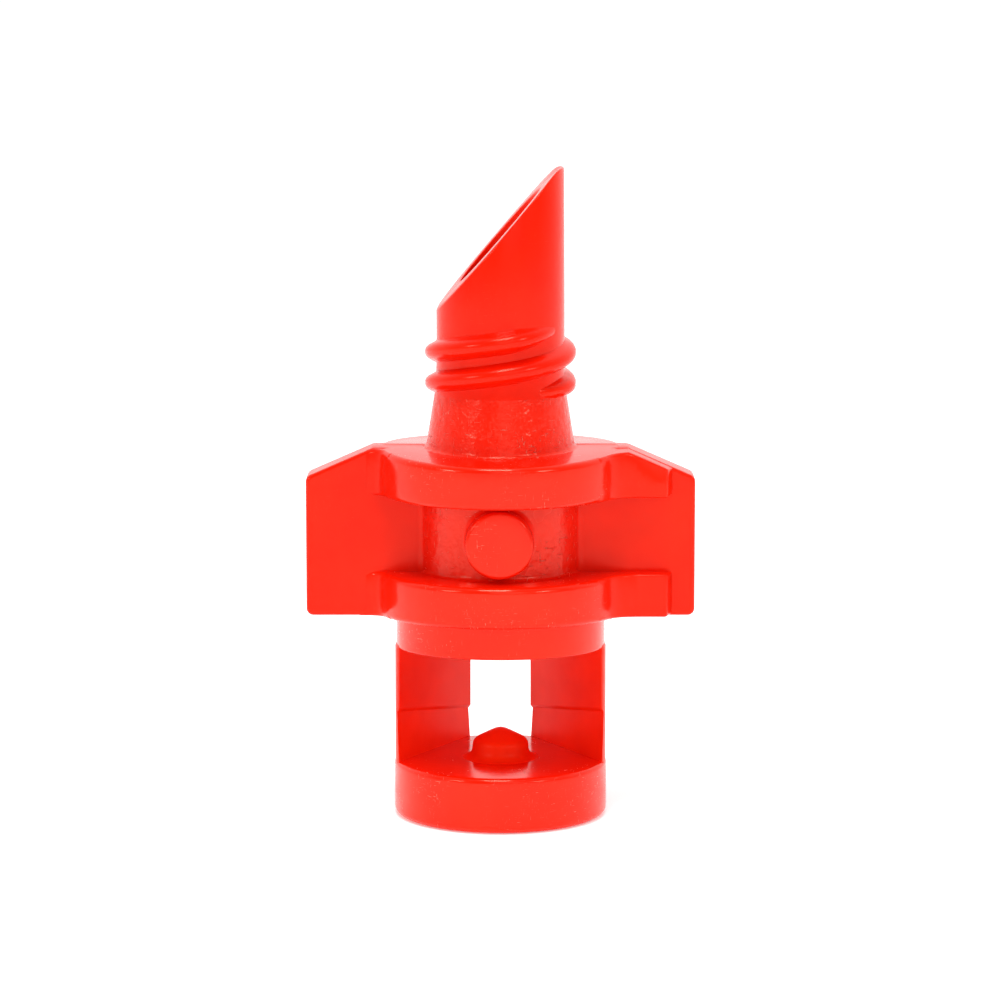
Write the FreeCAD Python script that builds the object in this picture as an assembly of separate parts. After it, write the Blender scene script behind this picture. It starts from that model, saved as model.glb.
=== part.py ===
import FreeCAD, Part
import math
import os

# Push-in micro-jet sprayer, one injection moulding, in millimetres.
# The nozzle axis is +Z, the inlet spike points up, and the open side of the
# spray window faces -Y. The origin is the centre of the deflector's underside.
# Every node below is one feature of the moulding; neighbours meet face to face.

# Water path
BORE_R = 1.27
ORIFICE_R = 0.60
ORIFICE_LAND = 0.45
BORE_FLOOR_Z = 6.25
THROAT_SEAT_R = 1.70

# Spike and shank
SHANK_ROOT_R = 2.05
SHANK_R = 2.03
SPIKE_TIP_R = 2.00
SHANK_BASE_Z = 13.59
SPIKE_BASE_Z = 15.72
SPIKE_DRAFT_Z = 16.24
BEVEL_LOW_Z = 16.27
BEVEL_SLOPE = 1.16
TIP_Z = 20.76

# Two-start right-hand thread
THREAD_LEAD = 1.97
THREAD_CREST_R = 2.40
THREAD_BASE_HALF = 0.32
THREAD_CREST_HALF = 0.12
THREAD_ROOT_SINK = 0.03
THREAD_CENTRE_Z_AT_0 = 13.90
THREAD_START_DEG = -110.0
THREAD_END_DEG = 290.0
THREAD_STARTS = {"thread_start_a": 0.0, "thread_start_b": 180.0}

# Neck
NECK_TOP_R = 2.10
NECK_BASE_R = 2.34

# Flanges and the hub between them
FLANGE_R = 3.85
UPPER_TOP_Z = 11.89
UPPER_BOTTOM_Z = 10.37
LOWER_TOP_Z = 7.93
LOWER_BOTTOM_Z = 6.45
DRAFT_DEG = 2.6
HUB_R = 2.55

# Round boss on the front of the hub
BOSS_R = 1.07
BOSS_X = -0.04
BOSS_Z = 9.17
BOSS_FACE_Y = -3.25

# Wings and the ribs that stiffen the right-hand one
WING_TIP_X = 6.18
WING_HALF_T = 0.64
WING_BOTTOM_Z = 6.49
WING_SHOULDER_X = 4.05
WING_SHOULDER_DROP = 0.94
RIB_END_X = 5.37
RIB_FACE_Y = -1.24

# Spray window
COLLAR_R = 3.335
COLLAR_BOTTOM_Z = 5.41
POST_R = 3.37
POST_FRONT_Y = -0.89
POST_BACK_Y = 3.24
DISC_R = 3.40
DISC_TOP_Z = 1.77
CONE_R = 0.90
CONE_EDGE_H = 0.52
CONE_H = 0.97
CONE_TIP_R = 0.10

REACH = 20.0
DRAFT = math.tan(math.radians(DRAFT_DEG))


def vec(x, y, z):
    return FreeCAD.Vector(x, y, z)


def rod(radius, z_low, z_high):
    """Upright solid cylinder on the nozzle axis."""
    return Part.makeCylinder(radius, z_high - z_low, vec(0, 0, z_low))


def cone(low_r, high_r, z_low, z_high):
    """Upright solid cone on the nozzle axis."""
    return Part.makeCone(low_r, high_r, z_high - z_low, vec(0, 0, z_low))


def tube(radius, z_low, z_high, inner=BORE_R):
    """Upright ring on the nozzle axis."""
    return rod(radius, z_low, z_high).cut(rod(inner, z_low - 1, z_high + 1))


def prism(points, direction):
    """Solid swept from a closed polygon along a vector."""
    outline = [vec(*p) for p in points]
    outline.append(outline[0])
    return Part.Face(Part.makePolygon(outline)).extrude(vec(*direction))


def drafted_slab(z_low, z_high, low_rise, high_rise):
    """Wide slab split at y = 0; its faces slope by the given rise per mm of |y|."""
    points = [
        (-REACH, -REACH, z_low + low_rise * REACH),
        (-REACH, 0, z_low),
        (-REACH, REACH, z_low + low_rise * REACH),
        (-REACH, REACH, z_high + high_rise * REACH),
        (-REACH, 0, z_high),
        (-REACH, -REACH, z_high + high_rise * REACH),
    ]
    return prism(points, (2 * REACH, 0, 0))


def upper_flange_solid():
    """Upper flange with no bore: a level underside and a top that falls off."""
    slab = drafted_slab(UPPER_BOTTOM_Z, UPPER_TOP_Z, 0, -DRAFT)
    return slab.common(rod(FLANGE_R, UPPER_BOTTOM_Z - 1, UPPER_TOP_Z + 1))


def lower_flange_solid():
    """Lower flange with no bore: a level top and an underside that rises."""
    slab = drafted_slab(LOWER_BOTTOM_Z, LOWER_TOP_Z, DRAFT, 0)
    return slab.common(rod(FLANGE_R, LOWER_BOTTOM_Z - 1, LOWER_TOP_Z + 1))


def bored(shape):
    """The shape with the water bore through it."""
    return shape.cut(rod(BORE_R, -REACH, 2 * REACH))


def piercing_spike():
    """Bevelled end of the inlet tube, cut back to a blunt tip at +X."""
    body = rod(SHANK_R, SPIKE_BASE_Z, SPIKE_DRAFT_Z)
    body = bored(body.fuse(cone(SHANK_R, SPIKE_TIP_R, SPIKE_DRAFT_Z, TIP_Z)))
    run = 2 * SHANK_R + 2
    low = BEVEL_LOW_Z - BEVEL_SLOPE
    points = [
        (-SHANK_R - 1, -REACH, low),
        (-SHANK_R - 1 + run, -REACH, low + BEVEL_SLOPE * run),
        (-SHANK_R - 1, -REACH, low + BEVEL_SLOPE * run),
    ]
    return body.cut(prism(points, (0, 2 * REACH, 0)))


def shank_core():
    return cone(SHANK_ROOT_R, SHANK_R, SHANK_BASE_Z, SPIKE_BASE_Z)


def threaded_shank():
    return bored(shank_core())


def thread_ridge(turn_deg):
    """One start of the thread, flush on the shank and cut square at both ends."""
    sweep_deg = THREAD_END_DEG - THREAD_START_DEG
    height = THREAD_LEAD * sweep_deg / 360.0
    start_z = THREAD_CENTRE_Z_AT_0 + THREAD_LEAD * THREAD_START_DEG / 360.0
    root = SHANK_R - THREAD_ROOT_SINK
    section = Part.makePolygon([
        vec(root, 0, -THREAD_BASE_HALF),
        vec(THREAD_CREST_R, 0, -THREAD_CREST_HALF),
        vec(THREAD_CREST_R, 0, THREAD_CREST_HALF),
        vec(root, 0, THREAD_BASE_HALF),
        vec(root, 0, -THREAD_BASE_HALF),
    ])
    helix = Part.makeHelix(THREAD_LEAD, height, SHANK_R)
    ridge = Part.Wire(helix).makePipeShell([section], True, True)
    ridge.translate(vec(0, 0, start_z))
    ridge.rotate(vec(0, 0, 0), vec(0, 0, 1), THREAD_START_DEG + turn_deg)
    ridge = ridge.common(rod(FLANGE_R, SHANK_BASE_Z, SPIKE_BASE_Z))
    return ridge.cut(shank_core())


def neck():
    """Tapered root of the shank, standing on the sloping flange top."""
    drop = DRAFT * NECK_BASE_R
    body = cone(NECK_BASE_R, NECK_TOP_R, UPPER_TOP_Z, SHANK_BASE_Z)
    foot = rod(NECK_BASE_R, UPPER_TOP_Z - 2 * drop, UPPER_TOP_Z)
    return bored(body.fuse(foot).cut(upper_flange_solid())).removeSplitter()


def hub():
    return tube(HUB_R, LOWER_TOP_Z, UPPER_BOTTOM_Z)


def front_boss():
    """Round stub on the hub, facing the open side of the window."""
    boss = Part.makeCylinder(BOSS_R, -BOSS_FACE_Y, vec(BOSS_X, 0, BOSS_Z), vec(0, -1, 0))
    return boss.cut(rod(HUB_R, 0, TIP_Z))


def wing_plate(y_low, y_high):
    """Right-hand wing plate between two y planes, from the hub to the tip."""
    inner_x = BORE_R
    points = [
        (inner_x, y_low, WING_BOTTOM_Z),
        (WING_TIP_X, y_low, WING_BOTTOM_Z),
        (WING_TIP_X, y_low, UPPER_TOP_Z - WING_SHOULDER_DROP),
        (WING_SHOULDER_X, y_low, UPPER_TOP_Z),
        (inner_x, y_low, UPPER_TOP_Z),
    ]
    return prism(points, (0, y_high - y_low, 0))


def flange_and_hub_core():
    """Everything that the wings and ribs are attached to."""
    core = rod(FLANGE_R, LOWER_BOTTOM_Z, LOWER_TOP_Z)
    core = core.fuse(rod(FLANGE_R, UPPER_BOTTOM_Z, UPPER_TOP_Z))
    return core.fuse(rod(HUB_R, LOWER_BOTTOM_Z, UPPER_TOP_Z))


def right_wing():
    return wing_plate(-WING_HALF_T, WING_HALF_T).cut(flange_and_hub_core())


def left_wing():
    return right_wing().mirror(vec(0, 0, 0), vec(1, 0, 0))


def rib(z_low, z_high):
    """Short block that carries a flange's front on to the right-hand wing."""
    plate = wing_plate(RIB_FACE_Y, -WING_HALF_T)
    span = Part.makeBox(RIB_END_X, REACH, z_high - z_low, vec(0, -REACH, z_low))
    return plate.common(span).cut(flange_and_hub_core())


def upper_rib():
    return rib(UPPER_BOTTOM_Z, UPPER_TOP_Z)


def lower_rib():
    return rib(LOWER_BOTTOM_Z, LOWER_TOP_Z)


def above_collar_bottom():
    """Everything over the collar's underside, which rises to the front and back."""
    return drafted_slab(COLLAR_BOTTOM_Z, REACH, DRAFT, 0)


def collar():
    """Short cylinder under the lower flange that holds the jet."""
    ring = tube(COLLAR_R, COLLAR_BOTTOM_Z, LOWER_TOP_Z, THROAT_SEAT_R)
    return ring.common(above_collar_bottom()).cut(lower_flange_solid())


def jet_orifice():
    """Narrowing throat inside the collar, from the bore down to the jet."""
    plug = rod(THROAT_SEAT_R, COLLAR_BOTTOM_Z, LOWER_TOP_Z).cut(lower_flange_solid())
    taper_z = COLLAR_BOTTOM_Z + ORIFICE_LAND
    passage = rod(ORIFICE_R, COLLAR_BOTTOM_Z - 1, taper_z)
    passage = passage.fuse(cone(ORIFICE_R, BORE_R, taper_z, BORE_FLOOR_Z))
    passage = passage.fuse(rod(BORE_R, BORE_FLOOR_Z, LOWER_TOP_Z))
    return plug.cut(passage)


def left_post():
    """Segment-shaped post: its flat inner face widens the window to the front."""
    front_x = -math.sqrt(POST_R ** 2 - POST_FRONT_Y ** 2)
    back_x = -math.sqrt(POST_R ** 2 - POST_BACK_Y ** 2)
    along = vec(back_x - front_x, POST_BACK_Y - POST_FRONT_Y, 0).normalize()
    front = vec(front_x, POST_FRONT_Y, DISC_TOP_Z) - along * REACH
    back = vec(back_x, POST_BACK_Y, DISC_TOP_Z) + along * REACH
    aside = vec(-along.y, along.x, 0) * REACH
    points = [tuple(p) for p in (front, back, back + aside, front + aside)]
    half = prism(points, (0, 0, LOWER_BOTTOM_Z - DISC_TOP_Z))
    post = half.common(rod(POST_R, DISC_TOP_Z, LOWER_BOTTOM_Z))
    return post.cut(above_collar_bottom())


def right_post():
    return left_post().mirror(vec(0, 0, 0), vec(1, 0, 0))


def deflector_disc():
    return rod(DISC_R, 0, DISC_TOP_Z)


def deflector_cone():
    """Short pin with a conical head that turns the jet outwards."""
    edge_z = DISC_TOP_Z + CONE_EDGE_H
    head = cone(CONE_R, CONE_TIP_R, edge_z, DISC_TOP_Z + CONE_H)
    return rod(CONE_R, DISC_TOP_Z, edge_z).fuse(head)


def build():
    nodes = {
        "piercing_spike": piercing_spike(),
        "threaded_shank": threaded_shank(),
        "neck": neck(),
        "upper_flange": bored(upper_flange_solid()),
        "hub": hub(),
        "front_boss": front_boss(),
        "lower_flange": bored(lower_flange_solid()),
        "left_wing": left_wing(),
        "right_wing": right_wing(),
        "upper_rib": upper_rib(),
        "lower_rib": lower_rib(),
        "collar": collar(),
        "jet_orifice": jet_orifice(),
        "left_post": left_post(),
        "right_post": right_post(),
        "deflector_disc": deflector_disc(),
        "deflector_cone": deflector_cone(),
    }
    for name, turn_deg in THREAD_STARTS.items():
        nodes[name] = thread_ridge(turn_deg)
    return nodes


def export(nodes):
    os.makedirs("parts", exist_ok=True)
    for name, shape in nodes.items():
        if not shape.isValid() or shape.Volume <= 0:
            raise ValueError("bad solid: " + name)
        shape.exportStep("parts/" + name + ".step")
        box = shape.BoundBox
        size = "{:.2f} x {:.2f} x {:.2f}".format(box.XLength, box.YLength, box.ZLength)
        print(name, "solids", len(shape.Solids), "volume", round(shape.Volume, 3), "size", size)


export(build())
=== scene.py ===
import math

import bpy
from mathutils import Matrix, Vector


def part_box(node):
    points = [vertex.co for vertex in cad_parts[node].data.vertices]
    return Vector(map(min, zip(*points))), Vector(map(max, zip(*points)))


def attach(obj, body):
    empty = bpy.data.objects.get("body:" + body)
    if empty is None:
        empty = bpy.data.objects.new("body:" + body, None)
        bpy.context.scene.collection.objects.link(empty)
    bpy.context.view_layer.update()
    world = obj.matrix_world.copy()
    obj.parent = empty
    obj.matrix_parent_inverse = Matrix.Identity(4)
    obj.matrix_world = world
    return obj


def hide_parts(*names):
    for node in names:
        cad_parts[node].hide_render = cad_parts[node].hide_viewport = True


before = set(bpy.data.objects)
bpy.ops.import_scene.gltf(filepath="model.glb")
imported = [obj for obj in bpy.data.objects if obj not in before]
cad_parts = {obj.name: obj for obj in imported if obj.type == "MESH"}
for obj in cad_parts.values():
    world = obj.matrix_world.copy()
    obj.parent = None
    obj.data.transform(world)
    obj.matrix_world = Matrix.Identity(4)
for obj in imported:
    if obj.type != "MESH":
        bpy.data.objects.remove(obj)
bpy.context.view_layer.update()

bl_info = {
    "name": "Micro Jet Sprayer",
    "version": (1, 0, 0),
    "blender": (4, 5, 0),
    "location": "3D View > Sidebar > Micro Jet",
    "description": "Builds a one-piece moulded micro jet sprayer and its studio",
    "category": "Object",
}

# Lengths in the helpers below are millimetres; MM turns them to metres.
MM = 0.001
# Points closer than this are one point.
WELD = 0.0004
ROUND_STEPS = 160
SMALL_ROUND_STEPS = 96
# How far hidden ends reach into the next piece, so that no gap shows between them.
SINK = 0.12
# How far those ends stand back from the wall of the bore.
BORE_LINER = 0.06
# Share of a round body's radius at which the hidden ends of webs and ribs stop.
HIDDEN = 0.85


def low(node, axis):
    """Lowest coordinate of a node along an axis, in millimetres."""
    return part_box(node)[0]["xyz".index(axis)] / MM


def high(node, axis):
    """Highest coordinate of a node along an axis, in millimetres."""
    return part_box(node)[1]["xyz".index(axis)] / MM


def clamp(value):
    """A number held between 0 and 1."""
    return max(0.0, min(1.0, value))


def ease(share):
    """A share from 0 to 1 that starts and ends gently."""
    return share * share * (3 - 2 * share)


def srgb(hex_code):
    """A colour picked as sRGB hex, as the linear value that Blender mixes."""
    raw = [int(hex_code[i:i + 2], 16) / 255 for i in (1, 3, 5)]
    linear = [c / 12.92 if c <= 0.04045 else ((c + 0.055) / 1.055) ** 2.4 for c in raw]
    return (*linear, 1.0)


# Settings that a user would change

def length(name, description, default):
    return bpy.props.FloatProperty(
        name=name, description=description, default=default * MM, unit="LENGTH", precision=5)


def colour(name, description, hex_code):
    return bpy.props.FloatVectorProperty(
        name=name, description=description, subtype="COLOR", size=4, min=0, max=1,
        default=srgb(hex_code))


class MicroJetWaterway(bpy.types.PropertyGroup):
    bore: length("Bore radius", "Inside radius of the inlet tube", 1.27)
    jet: length(
        "Jet radius", "Radius of the jet above the deflector", high("jet_orifice", "x") * 0.353)
    seat: length(
        "Throat seat radius", "Where the collar ends and the throat piece begins",
        high("jet_orifice", "x"))
    land: length("Jet land", "Straight length of the jet", 0.45)
    floor: length("Bore floor", "Height at which the bore starts to narrow", 6.25)


class MicroJetInlet(bpy.types.PropertyGroup):
    tube: length("Tube radius", "Outside radius of the plain tube", high("piercing_spike", "x"))
    tip: length("Tip radius", "Outside radius of the drafted tube at its tip", 2.00)
    root: length("Root radius", "Tube radius at the foot of the thread", high("threaded_shank", "x"))
    bevel_low: length("Bevel foot", "Height of the bevel's lowest point", 16.27)
    bevel_slope: bpy.props.FloatProperty(
        name="Bevel slope", description="Rise of the bevel for each unit across", default=1.16)
    crest: length("Thread crest", "Radius over the thread's crest", 2.40)
    lead: length("Thread lead", "Rise of one thread start in a full turn", 1.97)
    start_height: length("Thread height", "Height of the first start where it passes +X", 13.90)
    half_width: length("Thread half width", "Half the width of the ridge at its foot", 0.36)
    neck_top: length("Neck top radius", "Radius of the neck under the thread", 2.09)
    neck_foot: length("Neck foot radius", "Radius of the neck on the flange", high("neck", "x"))


class MicroJetBody(bpy.types.PropertyGroup):
    flange: length("Flange radius", "Radius of both flanges", high("upper_flange", "x"))
    hub: length("Hub radius", "Radius of the hub between the flanges", high("hub", "x"))
    edge: length("Edge round", "Rounding of the moulding's outer edges", 0.18)
    half_plate: length("Wing half thickness", "Half the thickness of a wing", high("right_wing", "y"))
    shoulder_x: length("Shoulder distance", "Where the wing's top starts to slope", 4.05)
    shoulder_drop: length("Shoulder drop", "How far the wing's top falls to its tip", 0.94)
    draft: bpy.props.FloatProperty(
        name="Draft", description="Slope of the flange faces away from the parting plane",
        default=math.radians(2.6), subtype="ANGLE")
    parting_step: length("Parting step", "Mismatch of the two mould halves", 0.03)


class MicroJetWindow(bpy.types.PropertyGroup):
    collar: length("Collar radius", "Radius of the collar over the window", high("collar", "x"))
    post: length("Post radius", "Outside radius of the two posts", 3.37)
    disc: length("Disc radius", "Radius of the deflector disc", high("deflector_disc", "x"))
    recess: length(
        "Post recess", "How far the lower part of a post's inner face is set back", 0.09)
    pin: length("Deflector radius", "Radius of the deflector pin", high("deflector_cone", "x"))


class MicroJetFinish(bpy.types.PropertyGroup):
    body: colour("Plastic", "Colour of the plastic", "#F02506")
    deep: colour("Plastic, thick", "Colour where flow and thickness make it deeper", "#E41C02")
    # Painted light: a brighter copy of the plastic that paints a glow on the thin posts and the pin.
    painted_glow: colour("Plastic, thin", "Colour where light comes through thin walls", "#FF340F")
    scuff: colour("Scuff", "Colour of whitened scratches", "#FF9A88")
    floor: colour("Floor", "Colour of the studio floor", "#FFFFFF")


def settings(group):
    """A settings group in millimetres, as plain numbers by name."""
    data = getattr(bpy.context.scene, group)
    found = {}
    for key, prop in data.bl_rna.properties.items():
        if prop.type == "FLOAT" and not prop.is_array:
            value = getattr(data, key)
            found[key] = value / MM if prop.unit == "LENGTH" else value
    return found


# Outlines

def rounded(points, segments=6):
    """Corner points (a, b, radius) of a closed outline, as an outline with round corners."""
    out = []
    count = len(points)
    for i, (a, b, radius) in enumerate(points):
        here = Vector((a, b))
        if radius <= 0:
            out.append(here)
            continue
        back = Vector(points[i - 1][:2]) - here
        ahead = Vector(points[(i + 1) % count][:2]) - here
        back.normalize()
        ahead.normalize()
        half = math.acos(max(-1.0, min(1.0, back.dot(ahead)))) / 2
        reach = radius / math.tan(half)
        centre = here + (back + ahead).normalized() * (radius / math.sin(half))
        start = here + back * reach - centre
        end = here + ahead * reach - centre
        turn = math.pi - 2 * half
        if start.x * end.y - start.y * end.x < 0:
            turn = -turn
        for step in range(segments + 1):
            angle = turn * step / segments
            out.append(centre + Vector((
                start.x * math.cos(angle) - start.y * math.sin(angle),
                start.x * math.sin(angle) + start.y * math.cos(angle))))
    return out


def fillet(centre, radius, start_deg, end_deg, segments=6):
    """Points along an arc, for a corner that is filled rather than rounded off."""
    sweep = end_deg - start_deg
    angles = [math.radians(start_deg + sweep * i / segments) for i in range(segments + 1)]
    return [
        Vector((centre[0] + radius * math.cos(a), centre[1] + radius * math.sin(a))) for a in angles]


def pairs(points):
    """Outline points as plain pairs of numbers."""
    return [(p.x, p.y) for p in points]


# Modelling steps

def clear_selection():
    if bpy.context.mode != "OBJECT":
        bpy.ops.object.mode_set(mode="OBJECT")
    bpy.ops.object.select_all(action="DESELECT")


def draw_outline(name, points, close=True):
    """A chain of edges through 3D points, left in edit mode with everything selected."""
    clear_selection()
    bpy.ops.mesh.primitive_plane_add(size=MM, location=(0, 0, 0))
    made = bpy.context.object
    made.name = name
    made.data.name = name
    bpy.ops.object.mode_set(mode="EDIT")
    bpy.ops.mesh.select_mode(type="VERT")
    bpy.ops.mesh.select_all(action="SELECT")
    bpy.ops.mesh.merge(type="CENTER")
    first = Vector(points[0]) * MM
    bpy.ops.transform.translate(value=first)
    here = first
    for point in points[1:] + points[:1] * close:
        there = Vector(point) * MM
        bpy.ops.mesh.extrude_vertices_move(TRANSFORM_OT_translate={"value": there - here})
        here = there
    bpy.ops.mesh.select_all(action="SELECT")
    bpy.ops.mesh.remove_doubles(threshold=WELD * MM)
    return made


def outward():
    """Merges doubles and turns every face outwards, in edit mode, then leaves it."""
    bpy.ops.mesh.select_all(action="SELECT")
    bpy.ops.mesh.remove_doubles(threshold=WELD * MM)
    bpy.ops.mesh.normals_make_consistent(inside=False)
    bpy.ops.object.mode_set(mode="OBJECT")


def lathe(name, profile, steps=ROUND_STEPS):
    """A profile of (radius, height) spun round the nozzle axis.

    A profile that starts on the axis also ends there; any other one is a closed ring.
    """
    made = draw_outline(name, [(r, 0, z) for r, z in profile], profile[0][0] > 0)
    bpy.ops.mesh.spin(steps=steps, angle=2 * math.pi, center=(0, 0, 0), axis=(0, 0, 1))
    outward()
    return made


def slab(name, outline, plane, start, end):
    """A flat outline pushed through from one height to another, across the named plane."""
    place = {
        "xy": lambda a, b, c: (a, b, c),
        "xz": lambda a, b, c: (a, c, b),
    }[plane]
    made = draw_outline(name, [place(a, b, start) for a, b in outline])
    bpy.ops.mesh.edge_face_add()
    bpy.ops.mesh.select_all(action="SELECT")
    travel = Vector(place(0, 0, end - start)) * MM
    bpy.ops.mesh.extrude_region_move(TRANSFORM_OT_translate={"value": travel})
    outward()
    return made


def shape(made, rule):
    """Moves each vertex of a piece by a rule on its place in millimetres."""
    for vertex in made.data.vertices:
        vertex.co = Vector(rule(*(vertex.co / MM))) * MM
    made.data.update()


def apply_modifier(made, kind, **values):
    clear_selection()
    made.select_set(True)
    bpy.context.view_layer.objects.active = made
    modifier = made.modifiers.new(kind.title(), kind)
    for key, value in values.items():
        setattr(modifier, key, value)
    bpy.ops.object.modifier_apply(modifier=modifier.name)


def round_edges(made, width, segments=4, angle=40.0):
    apply_modifier(
        made, "BEVEL", width=width * MM, segments=segments, limit_method="ANGLE",
        angle_limit=math.radians(angle), miter_outer="MITER_ARC", harden_normals=False)


def join(pieces, name):
    clear_selection()
    for piece in pieces:
        piece.select_set(True)
    bpy.context.view_layer.objects.active = pieces[0]
    if len(pieces) > 1:
        bpy.ops.object.join()
    made = bpy.context.object
    made.name = name
    made.data.name = name
    return made


def mirrored(source, name):
    """A copy of a piece on the other side of x = 0, with its own mesh."""
    clear_selection()
    source.select_set(True)
    bpy.context.view_layer.objects.active = source
    bpy.ops.object.duplicate(linked=False)
    made = bpy.context.object
    made.name = name
    made.data.name = name
    bpy.ops.transform.mirror(constraint_axis=(True, False, False), center_override=(0, 0, 0))
    bpy.ops.object.transform_apply(location=True, rotation=True, scale=True)
    bpy.ops.object.mode_set(mode="EDIT")
    outward()
    return made


def finish_piece(made, node, material, sharp=32.0):
    """Shades a piece, gives it its plastic and puts it in the place of its node."""
    clear_selection()
    made.select_set(True)
    bpy.context.view_layer.objects.active = made
    bpy.ops.object.transform_apply(location=True, rotation=True, scale=True)
    bpy.ops.object.shade_smooth_by_angle(angle=math.radians(sharp))
    apply_modifier(made, "WEIGHTED_NORMAL", weight=60, keep_sharp=True)
    made.data.materials.clear()
    made.data.materials.append(material)
    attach(made, "root")
    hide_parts(node)


# Materials

def add_node(tree, kind, links=(), **values):
    """Adds a node, sets its properties and inputs, and links sockets into it."""
    node = tree.nodes.new(kind)
    for key, value in values.items():
        if hasattr(node, key):
            setattr(node, key, value)
        else:
            node.inputs[key.replace("_", " ")].default_value = value
    for source, target in links:
        tree.links.new(source, node.inputs[target])
    return node


def moulded_plastic(name, colours, scuffs, streak_mm, base_rough, peel_mm, gloss):
    """Polypropylene-like commodity plastic, injection moulded in a polished tool.

    Semi-gloss skin with a faint orange peel, slightly deeper colour in flow clouds,
    and fine whitened scratches where pieces rubbed together in the bag.
    """
    material = bpy.data.materials.new(name)
    material.use_nodes = True
    tree = material.node_tree
    tree.nodes.clear()
    place = add_node(tree, "ShaderNodeTexCoord").outputs["Object"]

    # Flow clouds about 3 mm across.
    clouds = add_node(
        tree, "ShaderNodeTexNoise", [(place, "Vector")], Scale=1 / (3.0 * MM), Detail=3.0, Roughness=0.55)
    cloud_mix = add_node(
        tree, "ShaderNodeMapRange", [(clouds.outputs["Fac"], "Value")],
        From_Min=0.35, From_Max=0.68, To_Min=0.0, To_Max=1.0)
    # The clouds mix the two given colours; on the posts and the pin one of them is the painted glow.
    base = add_node(
        tree, "ShaderNodeMix", [(cloud_mix.outputs["Result"], "Factor")], data_type="RGBA")
    base.inputs[6].default_value, base.inputs[7].default_value = colours

    # Scratches about 0.03 mm wide and a few tenths of a millimetre long, in two directions.
    strokes = []
    for turn, stretch in ((0.5, (1.0, 1.0, 9.0)), (-0.7, (8.0, 1.0, 1.3))):
        turned = add_node(
            tree, "ShaderNodeMapping", [(place, "Vector")],
            Rotation=(0.3, turn, 0.4), Scale=stretch)
        stroke = add_node(
            tree, "ShaderNodeTexNoise", [(turned.outputs["Vector"], "Vector")],
            Scale=1 / (streak_mm * MM), Detail=2.0, Roughness=0.6, Distortion=0.4)
        strokes.append(add_node(
            tree, "ShaderNodeMapRange", [(stroke.outputs["Fac"], "Value")],
            From_Min=0.66, From_Max=0.74, To_Min=0.0, To_Max=1.0))
    # The scratches come in patches about 1.6 mm across.
    patch = add_node(
        tree, "ShaderNodeTexNoise", [(place, "Vector")], Scale=1 / (1.6 * MM), Detail=2.0)
    patch_mix = add_node(
        tree, "ShaderNodeMapRange", [(patch.outputs["Fac"], "Value")],
        From_Min=0.45, From_Max=0.65, To_Min=0.0, To_Max=1.0)
    both = add_node(
        tree, "ShaderNodeMath",
        [(strokes[0].outputs["Result"], 0), (strokes[1].outputs["Result"], 1)], operation="MAXIMUM")
    worn = add_node(
        tree, "ShaderNodeMath", [(both.outputs[0], 0), (patch_mix.outputs["Result"], 1)],
        operation="MULTIPLY")
    amount = add_node(tree, "ShaderNodeMath", [(worn.outputs[0], 0)], operation="MULTIPLY")
    amount.inputs[1].default_value = scuffs
    coloured = add_node(
        tree, "ShaderNodeMix", [(amount.outputs[0], "Factor"), (base.outputs[2], 6)], data_type="RGBA")
    coloured.inputs[7].default_value = bpy.context.scene.micro_jet_finish.scuff

    # The skin is a little duller in the clouds and on the scratches.
    rough = add_node(
        tree, "ShaderNodeMapRange", [(clouds.outputs["Fac"], "Value")],
        From_Min=0.3, From_Max=0.7, To_Min=base_rough - 0.03, To_Max=base_rough + 0.05)
    rough_all = add_node(
        tree, "ShaderNodeMath", [(amount.outputs[0], 0), (rough.outputs["Result"], 2)],
        operation="MULTIPLY_ADD")
    rough_all.inputs[1].default_value = 0.3

    # Orange peel about 0.25 mm across, with the scratches cut into it.
    peel = add_node(
        tree, "ShaderNodeTexNoise", [(place, "Vector")], Scale=1 / (0.25 * MM), Detail=2.0)
    height = add_node(
        tree, "ShaderNodeMath", [(worn.outputs[0], 0), (peel.outputs["Fac"], 2)],
        operation="MULTIPLY_ADD")
    height.inputs[1].default_value = -0.8 * scuffs
    bump = add_node(
        tree, "ShaderNodeBump", [(height.outputs[0], "Height")], Strength=1.0, Distance=peel_mm * MM)

    shader = add_node(
        tree, "ShaderNodeBsdfPrincipled",
        [(coloured.outputs[2], "Base Color"), (rough_all.outputs[0], "Roughness"),
         (bump.outputs["Normal"], "Normal")], IOR=1.49, Specular_IOR_Level=gloss,
        Specular_Tint=(1.0, 0.82, 0.64, 1.0))
    add_node(tree, "ShaderNodeOutputMaterial", [(shader.outputs["BSDF"], "Surface")])
    return material


def plastic(kind):
    """The moulded plastic by amount of scuffing, made once; the kind for the posts and the pin also gets a
    painted glow.
    """
    found = bpy.data.materials.get("moulded_plastic_" + kind)
    if found:
        return found
    finish = bpy.context.scene.micro_jet_finish
    # The window's posts and the pin are thin; their brighter colour is painted light, a painted glow for
    # light coming through them that also brightens their shaded faces under the collar.
    colours = (finish.painted_glow, finish.body) if kind == "smooth" else (finish.body, finish.deep)
    # Share of scuffing, scratch length in mm, roughness, depth of peel in mm, gloss.
    values = {
        "smooth": (0.05, 0.30, 0.36, 0.003, 0.16),
        "clean": (0.06, 0.26, 0.21, 0.003, 0.36),
        "rubbed": (0.60, 0.26, 0.17, 0.005, 0.52),
        "scraped": (0.95, 0.36, 0.24, 0.034, 0.60),
    }[kind]
    return moulded_plastic("moulded_plastic_" + kind, colours, *values)


# Pieces

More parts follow.
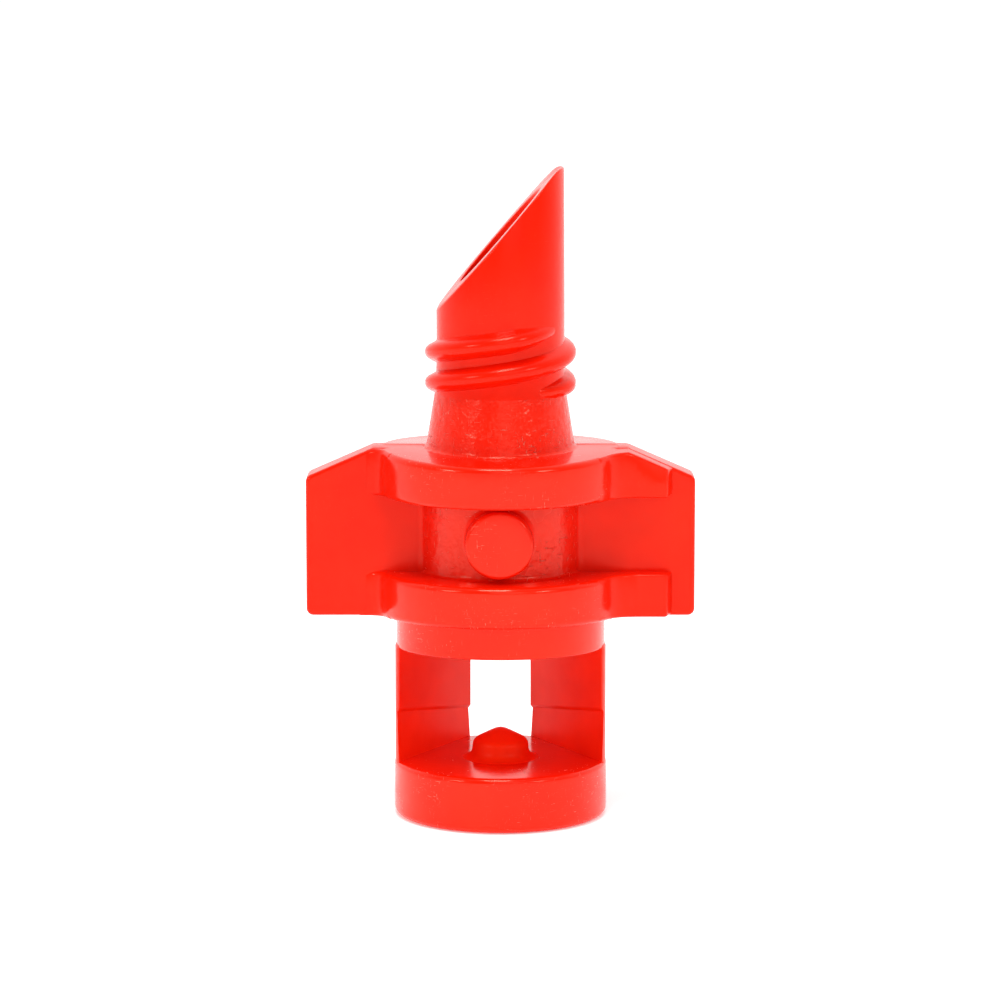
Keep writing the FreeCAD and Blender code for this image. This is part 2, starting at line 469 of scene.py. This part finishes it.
class MICROJET_OT_spike(bpy.types.Operator):
    """Bevelled inlet tube with a blunt, rounded tip"""
    bl_idname = "microjet.spike"
    bl_label = "Piercing spike"

    def execute(self, context):
        inlet = settings("micro_jet_inlet")
        bore = settings("micro_jet_waterway")["bore"]
        foot_z = low("piercing_spike", "z")
        tip_z = high("piercing_spike", "z")
        # Everything above this height belongs to the bevel.
        straight_z = 16.2
        rim = 0.08
        soft = 0.10
        # The tube's rim is drawn far up and then dropped on to the bevel.
        lift = 30.0
        wall = [
            (bore + BORE_LINER, foot_z - SINK), (inlet["tube"] - 0.08, foot_z - SINK),
            (inlet["tube"] - 0.08, foot_z), (inlet["tube"], foot_z), (inlet["tube"], straight_z)]
        top = rounded([
            (inlet["tube"], straight_z + 1, 0), (inlet["tube"], lift, rim), (bore, lift, rim),
            (bore, straight_z + 1, 0)], 4)[1:-1]
        wall += pairs(top)
        wall += [(bore, foot_z), (bore + BORE_LINER, foot_z)]
        made = lathe("spike", wall)

        def on_bevel(x, y, z):
            if z < straight_z + 0.5:
                return x, y, z
            radius = math.hypot(x, y)
            face = inlet["bevel_low"] + inlet["bevel_slope"] * (x + inlet["tube"])
            # The bevel runs into the blunt tip with a soft bend.
            top_z = -soft * math.log(math.exp(-face / soft + tip_z / soft) + 1) + tip_z
            height = top_z + (z - lift)
            taper = inlet["tube"] - inlet["tip"]
            pull = taper * max(0.0, height - straight_z) / (tip_z - straight_z)
            scale = (radius - pull) / radius if radius > bore + 0.3 else 1.0
            return x * scale, y * scale, height

        shape(made, on_bevel)
        finish_piece(made, "piercing_spike", plastic("clean"), 50.0)
        return {"FINISHED"}


def ridge_section(inlet):
    """Round-topped section of the thread as (radius, height) about its middle."""
    rise = inlet["crest"] - inlet["tube"]
    half = inlet["half_width"]
    side = [
        (-0.20, 1.12), (0.0, 1.03), (0.12, 0.93), (0.40, 0.78), (0.68, 0.62), (0.88, 0.42), (0.98, 0.18)]
    lower = [(inlet["tube"] + rise * up, -half * out) for up, out in side]
    upper = [(inlet["tube"] + rise * up, half * out) for up, out in reversed(side)]
    return lower + upper


class MICROJET_OT_thread(bpy.types.Operator):
    """Plain shank with its two-start thread"""
    bl_idname = "microjet.thread"
    bl_label = "Threaded shank"

    def execute(self, context):
        inlet = settings("micro_jet_inlet")
        bore = settings("micro_jet_waterway")["bore"]
        foot_z = low("threaded_shank", "z")
        top_z = high("threaded_shank", "z")
        core = lathe("shank", [
            (bore, foot_z), (bore + BORE_LINER, foot_z), (bore + BORE_LINER, foot_z - SINK),
            (inlet["root"] - 0.1, foot_z - SINK), (inlet["root"] - 0.1, foot_z),
            (inlet["neck_top"], foot_z), (inlet["root"], foot_z + 0.5), (inlet["tube"], foot_z + 1.2),
            (inlet["tube"], top_z), (bore, top_z)])
        finish_piece(core, "threaded_shank", plastic("clean"))

        for node, turn in (("thread_start_a", 0.0), ("thread_start_b", 180.0)):
            made = draw_outline(node + "_ridge", [(r, 0, z) for r, z in ridge_section(inlet)])
            bpy.ops.object.mode_set(mode="OBJECT")
            self.wind(made, inlet, turn)
            clear_selection()
            made.select_set(True)
            context.view_layer.objects.active = made
            bpy.ops.object.mode_set(mode="EDIT")
            bpy.ops.mesh.select_all(action="SELECT")
            bpy.ops.mesh.fill_holes(sides=0)
            outward()
            finish_piece(made, node, plastic("clean"), 40.0)
        return {"FINISHED"}

    def wind(self, made, inlet, turn):
        """Sweeps the section up the helix and lets both ends sink into the tube."""
        # Degrees along the helix: where a start begins and ends, how long it takes
        # to come up out of the tube, and where it begins to fade back into it.
        begin, end, growth, fade_from = -78.0, 345.0, 70.0, 278.0
        # The ridge comes out of the tube a little higher than the helix runs.
        start_raise = 0.22
        sweep = end - begin
        apply_modifier(
            made, "SCREW", axis="Z", angle=math.radians(sweep),
            screw_offset=inlet["lead"] * sweep / 360.0 * MM, steps=180, render_steps=180,
            use_normal_calculate=True)
        turned = math.radians(begin + turn)
        lift = inlet["start_height"] + inlet["lead"] * begin / 360.0
        root = inlet["tube"] - 0.20 * (inlet["crest"] - inlet["tube"])

        def settle(x, y, z):
            # How far along the helix this point is, from its height and its angle.
            angle = math.degrees(math.atan2(y, x)) % 360.0
            by_height = z / inlet["lead"] * 360.0
            along = angle + 360.0 * round((by_height - angle) / 360.0)
            centre = inlet["lead"] * along / 360.0
            fade = clamp((along + begin - fade_from) / (end - fade_from))
            grown = clamp(along / growth)
            keep = (1 - ease(fade)) * ease(grown)
            radius = math.hypot(x, y)
            scale = (root + (radius - root) * keep) / radius
            height = centre + start_raise * (1 - grown) + (z - centre) * (0.45 + 0.55 * keep)
            px, py = x * scale, y * scale
            return (
                px * math.cos(turned) - py * math.sin(turned),
                px * math.sin(turned) + py * math.cos(turned),
                height + lift)

        shape(made, settle)


class MICROJET_OT_neck(bpy.types.Operator):
    """Tapered neck that stands on the sloping flange"""
    bl_idname = "microjet.neck"
    bl_label = "Neck"

    def execute(self, context):
        inlet = settings("micro_jet_inlet")
        bore = settings("micro_jet_waterway")["bore"]
        draft = math.tan(settings("micro_jet_body")["draft"])
        top_z = high("neck", "z")
        foot_z = high("upper_flange", "z")
        blend = 0.14
        foot_r = inlet["neck_foot"]
        curve = pairs(fillet((foot_r + blend, foot_z + blend), blend, 270, 180, 5))
        made = lathe("neck", [
            (bore, top_z), (bore, foot_z), (bore + BORE_LINER, foot_z),
            (bore + BORE_LINER, foot_z - 0.3), (foot_r + blend, foot_z - 0.3)]
            + curve + [(inlet["neck_top"], top_z)])

        def settle(x, y, z):
            share = clamp((top_z - z) / (top_z - foot_z))
            return x, y, z - abs(y) * draft * share

        shape(made, settle)
        finish_piece(made, "neck", plastic("scraped"))
        return {"FINISHED"}


class MICROJET_OT_flanges(bpy.types.Operator):
    """The two flanges and the hub between them"""
    bl_idname = "microjet.flanges"
    bl_label = "Flanges and hub"

    def execute(self, context):
        body = settings("micro_jet_body")
        bore = settings("micro_jet_waterway")["bore"]
        draft = math.tan(body["draft"])
        step = body["parting_step"]
        edge = body["edge"]
        for node in ("upper_flange", "lower_flange"):
            bottom = low(node, "z")
            top = high(node, "z")
            middle = (bottom + top) / 2
            outline = rounded([
                (bore, bottom, 0), (body["flange"], bottom, edge), (body["flange"], top, edge),
                (bore, top, 0)], 6)
            made = lathe(node + "_ring", pairs(outline))
            upper = node == "upper_flange"

            def settle(x, y, z):
                if upper and z > middle:
                    z -= abs(y) * draft
                    z += step if y > 0.01 and z > middle + 0.3 else 0.0
                elif not upper and z < middle:
                    z += abs(y) * draft
                return x, y, z

            shape(made, settle)
            finish_piece(made, node, plastic("rubbed"))

        blend = 0.14
        hub_r = body["hub"]
        low_z = low("hub", "z")
        high_z = high("hub", "z")
        lower = pairs(fillet((hub_r + blend, low_z + blend), blend, 270, 180, 5))
        upper = pairs(fillet((hub_r + blend, high_z - blend), blend, 180, 90, 5))
        hub = lathe("hub_tube", [
            (bore, low_z), (bore + BORE_LINER, low_z), (bore + BORE_LINER, low_z - SINK),
            (hub_r + blend, low_z - SINK)]
            + lower + upper + [
            (hub_r + blend, high_z + SINK), (bore + BORE_LINER, high_z + SINK),
            (bore + BORE_LINER, high_z), (bore, high_z)])
        finish_piece(hub, "hub", plastic("scraped"))
        return {"FINISHED"}


class MICROJET_OT_boss(bpy.types.Operator):
    """Round boss on the front of the hub"""
    bl_idname = "microjet.boss"
    bl_label = "Front boss"

    def execute(self, context):
        hub_r = settings("micro_jet_body")["hub"]
        centre_x = (low("front_boss", "x") + high("front_boss", "x")) / 2
        centre_z = (low("front_boss", "z") + high("front_boss", "z")) / 2
        radius = (high("front_boss", "z") - low("front_boss", "z")) / 2
        face_y = low("front_boss", "y")
        blend = 0.11
        # Heights here are measured out from the hub's wall; the face is drawn far out.
        far = 20.0
        flare = pairs(fillet((radius + blend, blend), blend, 270, 180, 5))
        rim = rounded([(radius, 5, 0), (radius, far, 0.11), (0, far, 0)], 5)[1:-1]
        made = lathe("boss", [(0, -0.9), (radius + blend, -0.3)] + flare
                     + pairs(rim) + [(0.6, far), (0, far)], SMALL_ROUND_STEPS)

        def settle(x, y, z):
            # The lathe's axis becomes -Y.
            along_x = centre_x + x
            along_z = centre_z + y
            wall = -math.sqrt(max(0.1, hub_r ** 2 - along_x ** 2))
            out = face_y + (far - z) if z > 10 else wall - z
            return along_x, out, along_z

        shape(made, settle)
        clear_selection()
        made.select_set(True)
        context.view_layer.objects.active = made
        bpy.ops.object.mode_set(mode="EDIT")
        outward()
        finish_piece(made, "front_boss", plastic("rubbed"))
        return {"FINISHED"}


def run_in(radius, arc, half):
    """A corner's arc, led out of the round body and into the plate just under their skins."""
    skin = 0.002
    start = math.atan2(arc[0].y, arc[0].x)
    lead = [start + math.radians(d) for d in (8, 6, 4, 2)]
    ring = [Vector((math.cos(a), math.sin(a))) * (radius - skin) for a in lead]
    return [ring[0] * HIDDEN] + ring + list(arc) + [Vector((arc[-1].x + 0.3, half - skin))]


def tucked(x, y, z, radius, middle):
    """Keeps the hidden inner end of a web or rib clear of the flange's own faces."""
    if math.hypot(x, y) < radius * 0.9:
        z += 0.03 if z < middle else -0.03
    return z


def web(name, radius, half, blend, z_low, z_high, side_y):
    """Filled corner between a round body and the right wing's face, in plan."""
    reach = math.sqrt((radius + blend) ** 2 - (half + blend) ** 2)
    centre = Vector((reach, half + blend))
    on_round = math.degrees(math.atan2(-centre.y, -centre.x))
    arc = fillet(centre, blend, on_round, -90.0, 8)
    outline = run_in(radius, arc, half) + [
        Vector((arc[-1].x + 0.3, half - 0.3)), Vector((radius * HIDDEN, half - 0.3))]
    points = [(p.x, p.y * side_y) for p in outline]
    return slab(name, points, "xy", z_low, z_high)


class MICROJET_OT_wings(bpy.types.Operator):
    """Two flat wings with filled corners at the flanges and the hub"""
    bl_idname = "microjet.wings"
    bl_label = "Wings"

    def execute(self, context):
        body = settings("micro_jet_body")
        draft = math.tan(body["draft"])
        half = body["half_plate"]
        tip_x = high("right_wing", "x")
        bottom = low("right_wing", "z")
        top = high("right_wing", "z")
        flange_bottom = low("upper_flange", "z")
        flange_top = high("upper_flange", "z")
        lower_top = high("lower_flange", "z")
        lower_bottom = low("lower_flange", "z")
        inner = body["hub"] - 0.5
        outline = rounded([
            (inner, bottom, 0), (tip_x, bottom, 0.22), (tip_x, top - body["shoulder_drop"], 0.25),
            (body["shoulder_x"], top, 0.35), (3.4, top, 0), (3.4, top - 0.3, 0), (inner, top - 0.3, 0)], 6)
        plate = slab("wing_plate", pairs(outline), "xz", -half, half)
        round_edges(plate, 0.12, 4)

        def settle(x, y, z):
            if z > flange_top - 0.06 and x < body["shoulder_x"] + 0.2:
                z += 0.003 - abs(y) * draft * (1 if x < body["flange"] else 0.5)
            return x, y, z

        shape(plate, settle)

        slope = body["shoulder_drop"] / (tip_x - body["shoulder_x"])

        def top_skin(x, y, z):
            middle = (flange_bottom + flange_top) / 2
            fall = abs(y) * draft + max(0.0, x - body["shoulder_x"]) * slope if z > middle else 0.0
            return x, y, tucked(x, y, z, body["flange"], middle) - fall

        def low_skin(x, y, z):
            middle = (lower_bottom + lower_top) / 2
            rise = abs(y) * draft if z < middle else 0.0
            return x, y, tucked(x, y, z, body["flange"], middle) + rise

        pieces = [plate]
        for side_y in (-1, 1):
            top_web = web("web_top", body["flange"], half, 0.60, flange_bottom, flange_top, side_y)
            low_web = web("web_low", body["flange"], half, 0.60, lower_bottom, lower_top, side_y)
            for piece in (top_web, low_web):
                round_edges(piece, body["edge"], 4, 60.0)
            shape(top_web, top_skin)
            shape(low_web, low_skin)
            hub_web = web("web_hub", body["hub"], half, 0.25, lower_top - 0.1, flange_bottom + 0.1, side_y)
            pieces += [top_web, low_web, hub_web]
        right = join(pieces, "right_wing_plate")
        left = mirrored(right, "left_wing_plate")
        finish_piece(right, "right_wing", plastic("clean"))
        finish_piece(left, "left_wing", plastic("clean"))
        return {"FINISHED"}


class MICROJET_OT_ribs(bpy.types.Operator):
    """Short blocks that carry the flanges on to the right wing"""
    bl_idname = "microjet.ribs"
    bl_label = "Ribs"

    def execute(self, context):
        body = settings("micro_jet_body")
        draft = math.tan(body["draft"])
        slope = body["shoulder_drop"] / (high("right_wing", "x") - body["shoulder_x"])
        for node in ("upper_rib", "lower_rib"):
            face = -low(node, "y")
            end_x = high(node, "x")
            bottom = low(node, "z")
            top = high(node, "z")
            blend = 1.10
            radius = body["flange"]
            reach = math.sqrt((radius + blend) ** 2 - (face + blend) ** 2)
            on_round = math.degrees(math.atan2(-(face + blend), -reach))
            arc = fillet((reach, face + blend), blend, on_round, -90.0, 12)
            outline = [(p.x, -p.y) for p in run_in(radius, arc, face)[:-1]]
            corner = rounded([
                (outline[-1][0], -face, 0), (end_x - 0.09, -face, 0.10), (end_x + 0.09, -0.6, 0)], 4)
            outline += pairs(corner[1:])
            outline += [(end_x + 0.14, -0.35), (radius * HIDDEN, -0.35)]
            made = slab(node + "_block", outline, "xy", bottom, top)
            round_edges(made, body["edge"] * 0.9, 4, 60.0)
            middle = (bottom + top) / 2
            upper = node == "upper_rib"

            def settle(x, y, z):
                move = 0.0
                if upper and z > middle:
                    share = (z - middle) / (top - middle)
                    move = -abs(y) * draft - max(0.0, x - body["shoulder_x"]) * slope * share
                elif not upper and z < middle:
                    move = abs(y) * draft
                return x, y, tucked(x, y, z, radius, middle) + move

            clear_selection()
            made.select_set(True)
            context.view_layer.objects.active = made
            bpy.ops.object.mode_set(mode="EDIT")
            bpy.ops.mesh.select_all(action="SELECT")
            bpy.ops.mesh.bisect(
                plane_co=(body["shoulder_x"] * MM, 0, 0), plane_no=(1, 0, 0))
            bpy.ops.object.mode_set(mode="OBJECT")
            shape(made, settle)
            finish_piece(made, node, plastic("clean"))
        return {"FINISHED"}


class MICROJET_OT_collar(bpy.types.Operator):
    """Collar over the window and the jet throat inside it"""
    bl_idname = "microjet.collar"
    bl_label = "Collar and jet"

    def execute(self, context):
        window = settings("micro_jet_window")
        water = settings("micro_jet_waterway")
        draft = math.tan(settings("micro_jet_body")["draft"])
        bottom = low("collar", "z")
        flange_z = low("lower_flange", "z")
        top = flange_z + 0.4
        blend = 0.10
        rim = 0.07
        outer = rounded([
            (window["collar"], bottom + 0.5, 0), (window["collar"], bottom, rim),
            (water["seat"], bottom, 0)], 4)[1:-1]
        curve = fillet((window["collar"] + blend, flange_z - blend), blend, 90, 180, 4)
        made = lathe("collar_ring", [
            (water["seat"], bottom), (water["seat"], top), (window["collar"] + blend, top)]
            + pairs(curve) + pairs(outer))

        def settle(x, y, z):
            return x, y, z + abs(y) * draft

        shape(made, settle)
        finish_piece(made, "collar", plastic("rubbed"))

        throat = lathe("jet", [
            (water["jet"], bottom), (water["seat"], bottom), (water["seat"], flange_z + 0.3),
            (water["bore"] + BORE_LINER, flange_z + 0.3), (water["bore"] + BORE_LINER, flange_z + 0.09),
            (water["bore"], flange_z + 0.09), (water["bore"], water["floor"]),
            (water["jet"], bottom + water["land"])], SMALL_ROUND_STEPS)
        shape(throat, lambda x, y, z: (
            x, y, z + abs(y) * draft * max(0.0, 1 - (z - bottom) / 0.3)))
        finish_piece(throat, "jet_orifice", plastic("clean"))
        return {"FINISHED"}


class MICROJET_OT_posts(bpy.types.Operator):
    """Two posts with a stepped inner face beside the window"""
    bl_idname = "microjet.posts"
    bl_label = "Window posts"

    def execute(self, context):
        window = settings("micro_jet_window")
        draft = math.tan(settings("micro_jet_body")["draft"])
        disc_top = high("deflector_disc", "z")
        collar_bottom = low("collar", "z")
        radius = window["post"]
        front_y = low("left_post", "y")
        back_y = high("left_post", "y")
        front = Vector((math.sqrt(radius ** 2 - front_y ** 2), front_y))
        back = Vector((math.sqrt(radius ** 2 - back_y ** 2), back_y))
        start = math.atan2(back.y, back.x)
        end = math.atan2(front.y, front.x)
        arc_steps = 36
        along = (back - front).normalized()
        inward = Vector((-along.y, along.x))
        arc = []
        for i in range(arc_steps + 1):
            angle = start + (end - start) * i / arc_steps
            arc.append(Vector((radius * math.cos(angle), radius * math.sin(angle))))
        # Both ends of the arc are blunted so that the edges catch the light.
        arc[0] = back - along * 0.11
        arc[-1] = front + along * 0.06
        outline = pairs(arc)
        made = slab("post", outline, "xy", disc_top - 0.1, collar_bottom + 0.15)

        # Rings: the foot on the disc, the collar's lower edge, and the crease's two sides.
        # A ring nearer than 0.1 mm to another would be dropped by the operator.
        clear_selection()
        made.select_set(True)
        context.view_layer.objects.active = made
        bpy.ops.object.mode_set(mode="EDIT")
        foot = 0.09
        # The crease rises towards the front, across a narrow band of the face.
        crease_front, crease_back = 3.36, 2.74
        crease_start_y = -0.25
        crease_band = 0.12
        tilt = (crease_back - crease_front) / (back_y - crease_start_y)
        level = (0, 0, 1)
        rings = [
            (0, disc_top + foot * (1 - math.cos(math.radians(18))), level),
            (0, collar_bottom, level)]
        rings += [
            (crease_start_y, crease_front + offset, (0, -tilt, 1))
            for offset in (-crease_band * 0.5, crease_band * 0.375)]
        for ring_y, ring_z, normal in rings:
            bpy.ops.mesh.select_all(action="SELECT")
            bpy.ops.mesh.bisect(plane_co=(0, ring_y * MM, ring_z * MM), plane_no=normal)
        bpy.ops.object.mode_set(mode="OBJECT")

        def settle(x, y, z):
            flat = Vector((x, y))
            depth = (flat - front).dot(inward)
            on_face = abs(depth) < 0.01 or x ** 2 + y ** 2 < (radius - 0.02) ** 2
            if on_face:
                crease = crease_front + tilt * (y - crease_start_y)
                move = -window["recess"] * ease(clamp(0.5 - (z - crease) / crease_band))
                rise = z - disc_top
                if 0 <= rise < foot:
                    move += foot - math.sqrt(max(0.0, foot ** 2 - (foot - rise) ** 2))
                elif rise < 0:
                    move += foot
                flat += inward * move
            lift = abs(y) * draft if z > collar_bottom - 0.002 else 0.0
            inside_collar = window["collar"] - 0.01
            if z > collar_bottom + 0.002 and flat.length > inside_collar:
                flat *= inside_collar / flat.length
            return flat.x, flat.y, z + lift

        shape(made, settle)
        left = mirrored(made, "left_post_block")
        made.name = "right_post_block"
        made.data.name = "right_post_block"
        # The posts' plastic carries the painted glow.
        finish_piece(made, "right_post", plastic("smooth"))
        finish_piece(left, "left_post", plastic("smooth"))
        return {"FINISHED"}


class MICROJET_OT_deflector(bpy.types.Operator):
    """Deflector disc with its pin and cone"""
    bl_idname = "microjet.deflector"
    bl_label = "Deflector"

    def execute(self, context):
        window = settings("micro_jet_window")
        top = high("deflector_disc", "z")
        outline = rounded([
            (0, 0, 0), (window["disc"], 0, 0.22), (window["disc"], top, 0.16), (0, top, 0)], 6)
        disc = lathe("disc", pairs(outline))
        finish_piece(disc, "deflector_disc", plastic("rubbed"))

        peak = high("deflector_cone", "z")
        pin = window["pin"]
        rise = peak - top
        blend = 0.32
        curve = pairs(fillet((pin + blend, top + blend), blend, 270, 180, 6))
        head = [(0.995, 0.42), (0.98, 0.50), (0.945, 0.565), (0.89, 0.62), (0.80, 0.68),
                (0.55, 0.80), (0.36, 0.89), (0.22, 0.95), (0.10, 0.985)]
        cone = lathe("cone", [(0, top - 0.1), (pin + blend, top - 0.1)] + curve
                     + [(pin * r, top + rise * h) for r, h in head] + [(0, peak)],
                     SMALL_ROUND_STEPS)
        # The pin's plastic carries the painted glow.
        finish_piece(cone, "deflector_cone", plastic("smooth"), 60.0)
        return {"FINISHED"}


class MICROJET_OT_stage(bpy.types.Operator):
    """Pale floor, soft lights and the camera"""
    bl_idname = "microjet.stage"
    bl_label = "Studio"

    def execute(self, context):
        scene = context.scene
        clear_selection()
        bpy.ops.mesh.primitive_plane_add(size=2.0, location=(0, 0, -0.02 * MM))
        floor = context.object
        floor.name = "studio_floor"
        material = bpy.data.materials.new("matt_paper_sweep")
        material.use_nodes = True
        shader = material.node_tree.nodes["Principled BSDF"]
        shader.inputs["Base Color"].default_value = scene.micro_jet_finish.floor
        shader.inputs["Roughness"].default_value = 0.9
        shader.inputs["Specular IOR Level"].default_value = 0.1
        shader.inputs["Emission Color"].default_value = scene.micro_jet_finish.floor
        shader.inputs["Emission Strength"].default_value = 0.23
        floor.data.materials.append(material)

        world = bpy.data.worlds.new("studio_air")
        scene.world = world
        world.use_nodes = True
        # A white backdrop behind the sprayer, and a dimmer room in front of it.
        tree = world.node_tree
        way = add_node(tree, "ShaderNodeTexCoord").outputs["Generated"]
        parts = add_node(tree, "ShaderNodeSeparateXYZ", [(way, "Vector")])
        dim = add_node(
            tree, "ShaderNodeMapRange", [(parts.outputs["Y"], "Value")],
            interpolation_type="SMOOTHSTEP", From_Min=-0.7, From_Max=0.6, To_Min=0.16, To_Max=1.0)
        tree.links.new(dim.outputs["Result"], tree.nodes["Background"].inputs["Strength"])
        tree.nodes["Background"].inputs["Color"].default_value = (1, 1, 1, 1)

        middle = Vector((0, 0, 10.1 * MM))
        # Degrees round from the front and up, distance and size in metres, then watts.
        for name, azimuth, elevation, reach, size, power in (
                ("overhead", -8, 70, 0.30, 0.10, 0.34),
                ("soft_left", -50, 22, 0.30, 0.06, 0.125),
                ("soft_right", 44, 24, 0.30, 0.06, 0.115),
                ("front_fill", 8, 24, 0.34, 0.20, 0.115)):
            a, e = math.radians(azimuth), math.radians(elevation)
            away = Vector((math.sin(a) * math.cos(e), -math.cos(a) * math.cos(e), math.sin(e)))
            bpy.ops.object.light_add(type="AREA", location=middle + away * reach)
            light = context.object
            light.name = name
            light.data.shape = "SQUARE"
            light.data.size = size
            light.data.energy = power
            light.rotation_mode = "QUATERNION"
            light.rotation_quaternion = away.to_track_quat("Z", "Y")

        # A long lens from a little above the sprayer.
        bpy.ops.object.camera_add(location=(0, -135.3 * MM, 31.8 * MM))
        camera = context.object
        camera.name = "front_camera"
        back_way = camera.location - middle
        camera.rotation_mode = "QUATERNION"
        camera.rotation_quaternion = back_way.to_track_quat("Z", "Y")
        camera.data.sensor_width = 36.0
        camera.data.lens = 154.65
        camera.data.clip_start = 0.005
        camera.data.clip_end = 10.0
        scene.camera = camera
        scene.view_settings.view_transform = "Standard"
        scene.view_settings.look = "Medium High Contrast"
        return {"FINISHED"}


class MICROJET_PT_panel(bpy.types.Panel):
    """Lists the pieces of the sprayer"""
    bl_idname = "MICROJET_PT_panel"
    bl_label = "Micro jet sprayer"
    bl_space_type = "VIEW_3D"
    bl_region_type = "UI"
    bl_category = "Micro Jet"

    def draw(self, context):
        for operator in OPERATORS:
            self.layout.operator(operator.bl_idname)


GROUPS = {
    "micro_jet_waterway": MicroJetWaterway,
    "micro_jet_inlet": MicroJetInlet,
    "micro_jet_body": MicroJetBody,
    "micro_jet_window": MicroJetWindow,
    "micro_jet_finish": MicroJetFinish,
}
OPERATORS = (
    MICROJET_OT_spike, MICROJET_OT_thread, MICROJET_OT_neck, MICROJET_OT_flanges, MICROJET_OT_boss,
    MICROJET_OT_wings, MICROJET_OT_ribs, MICROJET_OT_collar, MICROJET_OT_posts, MICROJET_OT_deflector,
    MICROJET_OT_stage)


def register():
    for name, group in GROUPS.items():
        bpy.utils.register_class(group)
        setattr(bpy.types.Scene, name, bpy.props.PointerProperty(type=group))
    for operator in OPERATORS:
        bpy.utils.register_class(operator)
    bpy.utils.register_class(MICROJET_PT_panel)


def unregister():
    bpy.utils.unregister_class(MICROJET_PT_panel)
    for operator in reversed(OPERATORS):
        bpy.utils.unregister_class(operator)
    for name, group in reversed(GROUPS.items()):
        delattr(bpy.types.Scene, name)
        bpy.utils.unregister_class(group)


def main():
    register()
    for operator in OPERATORS:
        group, name = operator.bl_idname.split(".")
        getattr(getattr(bpy.ops, group), name)()


if __name__ == "__main__":
    main()
